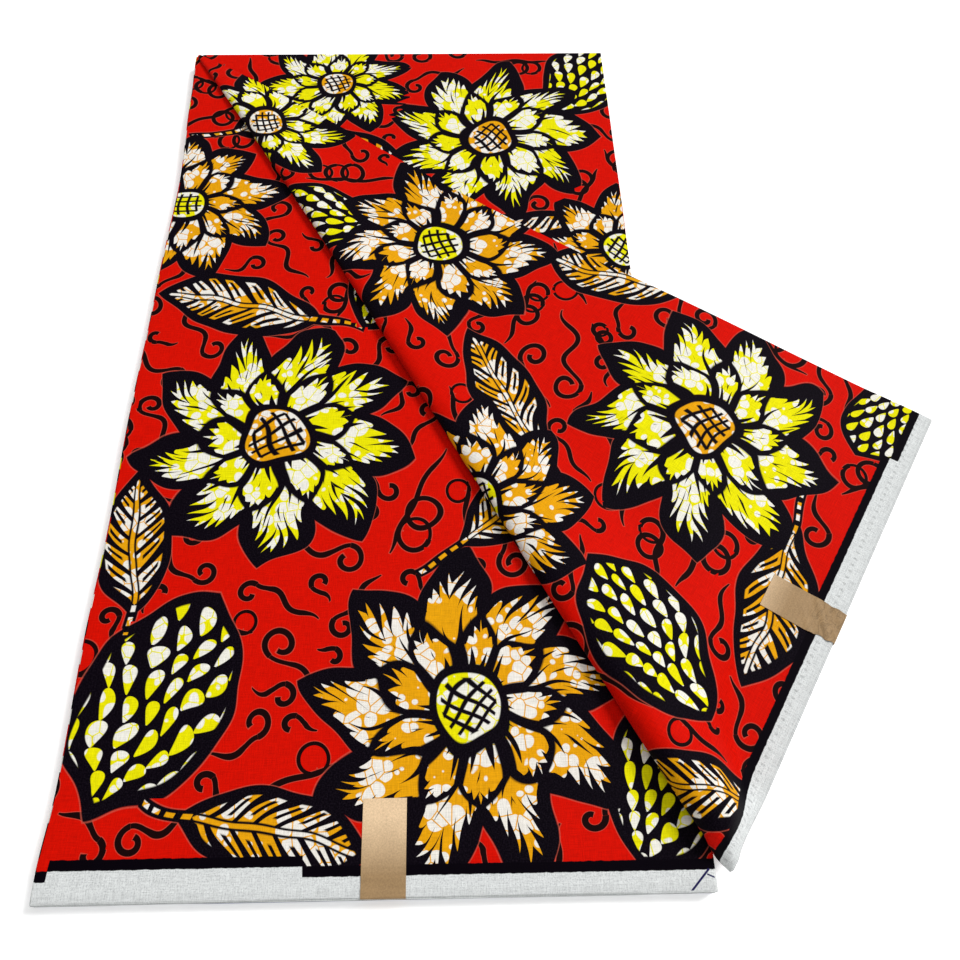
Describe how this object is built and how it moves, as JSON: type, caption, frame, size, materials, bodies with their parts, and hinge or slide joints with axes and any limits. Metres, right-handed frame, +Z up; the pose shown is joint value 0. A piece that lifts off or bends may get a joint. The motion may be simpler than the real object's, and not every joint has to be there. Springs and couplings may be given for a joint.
{
  "type": "ankara fabric",
  "caption": "Length of wax-print cotton folded into a flat stack that lies on a surface, its top panel turned over along a diagonal roll, with paper labels round the selvedges.",
  "frame": {"origin": "middle of the folded stack's flat underside, on the surface that it lies on", "axes": "+X to the right, towards the side that the turned panel hangs over; +Y away from the viewer, from the selvedges to the folded edge; +Z up"},
  "size_m": [0.4773, 0.5808, 0.0278],
  "materials": {
    "stack_cotton": "matte",
    "panel_cotton": "matte",
    "label_paper": "satin"
  },
  "bodies": {
    "root": {"folded_stack": "stack_cotton", "turned_panel": "panel_cotton", "label_near": "label_paper", "label_turned": "label_paper"}
  },
  "joints": []
}
